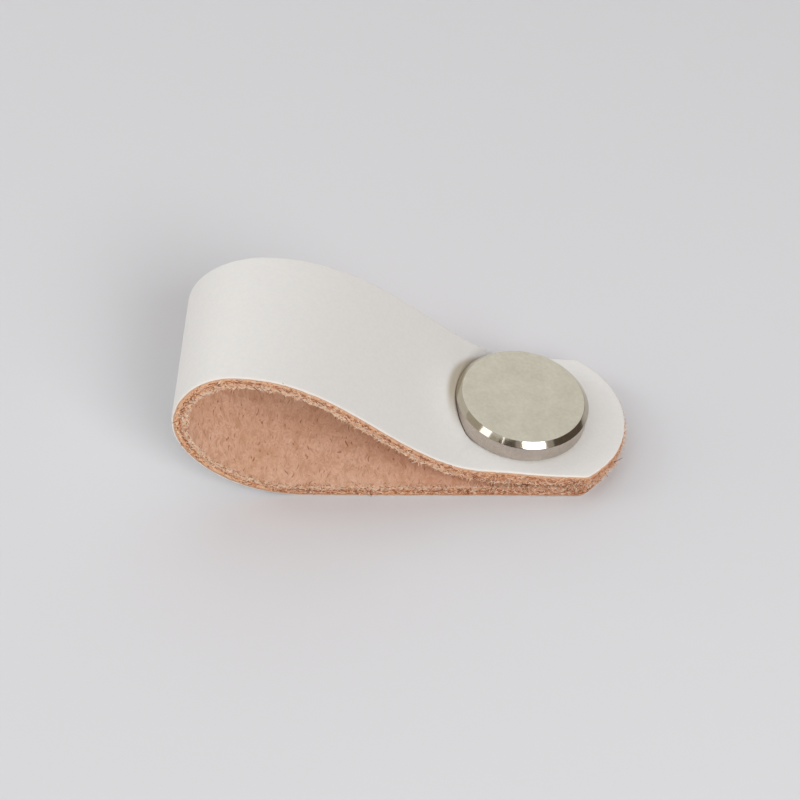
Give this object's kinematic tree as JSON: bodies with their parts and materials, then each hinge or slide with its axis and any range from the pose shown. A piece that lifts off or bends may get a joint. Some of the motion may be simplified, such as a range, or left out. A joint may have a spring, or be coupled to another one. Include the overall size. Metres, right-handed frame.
{
  "type": "leather strap pull",
  "caption": "Folded leather loop pull, held at its ends by a round steel button on a tapped barrel, fixed from behind by a machine screw to a drawer or door front.",
  "frame": {"origin": "on the mounting face, below the middle of the pull's box", "axes": "+Z away from the surface the pull is fixed to, +X from the nose of the loop to the strap's ends, +Y across the strap to its back edge"},
  "size_m": [0.082, 0.0304, 0.0319],
  "materials": {
    "coated_leather": "smooth off-white finish on the grain face, raw tan cut edges and flesh face",
    "satin_steel": "fine satin top and side, polished chamfer"
  },
  "bodies": {
    "root": {"strap": "coated_leather", "button": "satin_steel"}
  },
  "joints": []
}
